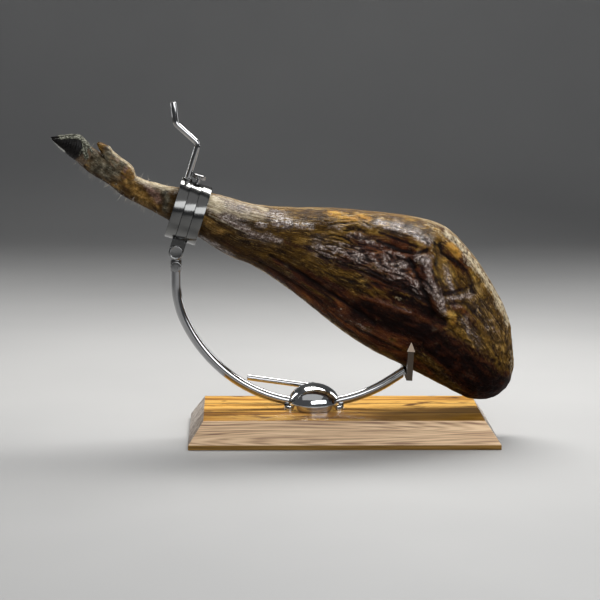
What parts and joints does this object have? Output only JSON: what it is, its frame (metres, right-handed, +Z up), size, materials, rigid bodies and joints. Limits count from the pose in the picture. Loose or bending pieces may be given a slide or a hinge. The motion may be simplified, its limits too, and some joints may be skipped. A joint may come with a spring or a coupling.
{
  "type": "cured ham in a tilting stand",
  "caption": "Bone-in cured ham clamped by the shank in a steel ring and resting in a fork on an arched rod that slides in a domed foot on a bevelled wooden board.",
  "frame": {"origin": "middle of the board's underside", "axes": "+X along the board from the hoof to the butt, +Y away from the carved face, +Z up"},
  "size_m": [0.7558, 0.258, 0.5453],
  "materials": {
    "board_wood": "gloss varnish over streaked grain",
    "polished_steel": "mirror polished stainless steel",
    "machined_steel": "finely turned stainless steel",
    "cured_meat": "dry cured rind and lean with oily sheen"
  },
  "bodies": {
    "base": {"board": "board_wood", "dome": "polished_steel"},
    "lever": {"lock_lever": "polished_steel"},
    "arc": {"arc_rod": "polished_steel", "cradle_fork": "polished_steel", "arc_eye": "machined_steel", "set_screw": "machined_steel"},
    "head": {"swivel_housing": "machined_steel", "clamp_sleeve": "machined_steel", "retaining_band": "machined_steel", "pivot_pin": "machined_steel", "ham": "cured_meat"},
    "crank": {"clamp_crank": "polished_steel"},
    "brake": {"brake_screw": "machined_steel"}
  },
  "joints": [
    {"name": "arc_slide", "type": "hinge", "parent": "base", "child": "arc", "pos_m": [-0.046, 0, 0.2794], "axis": [0, -1, 0], "range_deg": [-2, 20]},
    {"name": "head_tilt", "type": "hinge", "parent": "arc", "child": "head", "pos_m": [-0.27123, 0, 0.30196], "axis": [0, -1, 0], "range_deg": [0, 45]},
    {"name": "crank_turn", "type": "hinge", "parent": "head", "child": "crank", "pos_m": [-0.25272, 0, 0.41923], "axis": [0.2957, 0, 0.9553], "continuous": true},
    {"name": "brake_turn", "type": "hinge", "parent": "head", "child": "brake", "pos_m": [-0.23648, 0, 0.4142], "axis": [0.2957, 0, 0.9553], "continuous": true},
    {"name": "lever_turn", "type": "hinge", "parent": "base", "child": "lever", "pos_m": [-0.0455, 0.0455, 0.0708], "axis": [0, 1, 0], "range_deg": [-10, 80]}
  ]
}
